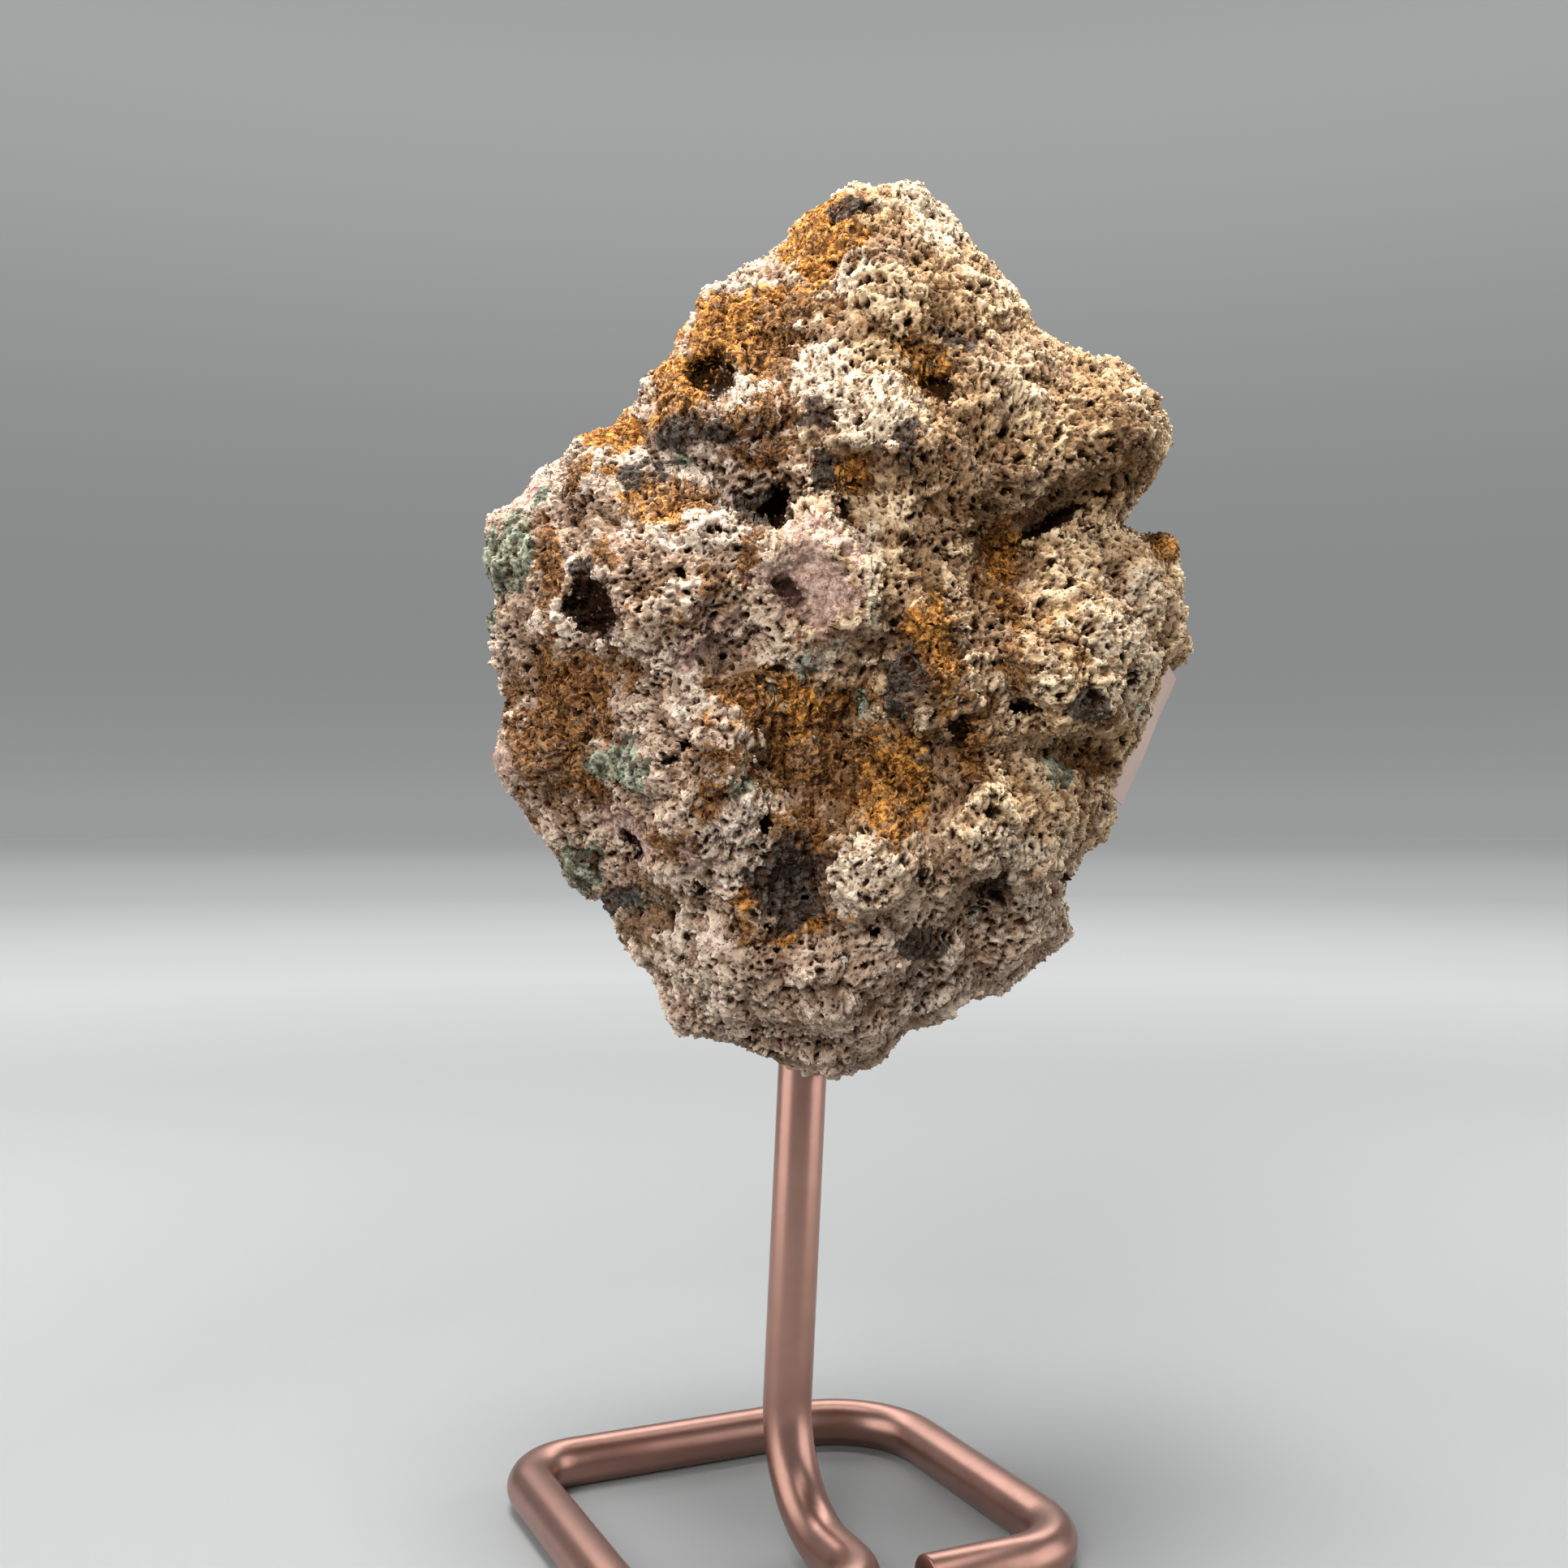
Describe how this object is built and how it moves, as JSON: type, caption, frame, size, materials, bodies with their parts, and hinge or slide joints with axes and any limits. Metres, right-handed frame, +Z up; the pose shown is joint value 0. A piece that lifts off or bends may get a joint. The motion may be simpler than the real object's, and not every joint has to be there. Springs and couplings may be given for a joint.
{
  "type": "amethyst specimen on stand",
  "caption": "Rough crusted amethyst matrix specimen, pierced from below by a bent wire stand with a rounded square foot, with a small blank paper slip on its edge.",
  "frame": {"origin": "on the table surface, under the middle of the part's bounding box", "axes": "+Z up, along the rod; -Y is the front, the side the specimen is shown from; +X is to the right of a viewer in front"},
  "size_m": [0.0598, 0.0448, 0.1125],
  "materials": {
    "crust": "dry, rough, granular mineral crust with rust, green and lilac areas",
    "wire": "satin rose-gold",
    "slip": "matt, aged, blank"
  },
  "bodies": {
    "root": {"specimen": "crust", "stand": "wire", "label": "slip"}
  },
  "joints": []
}
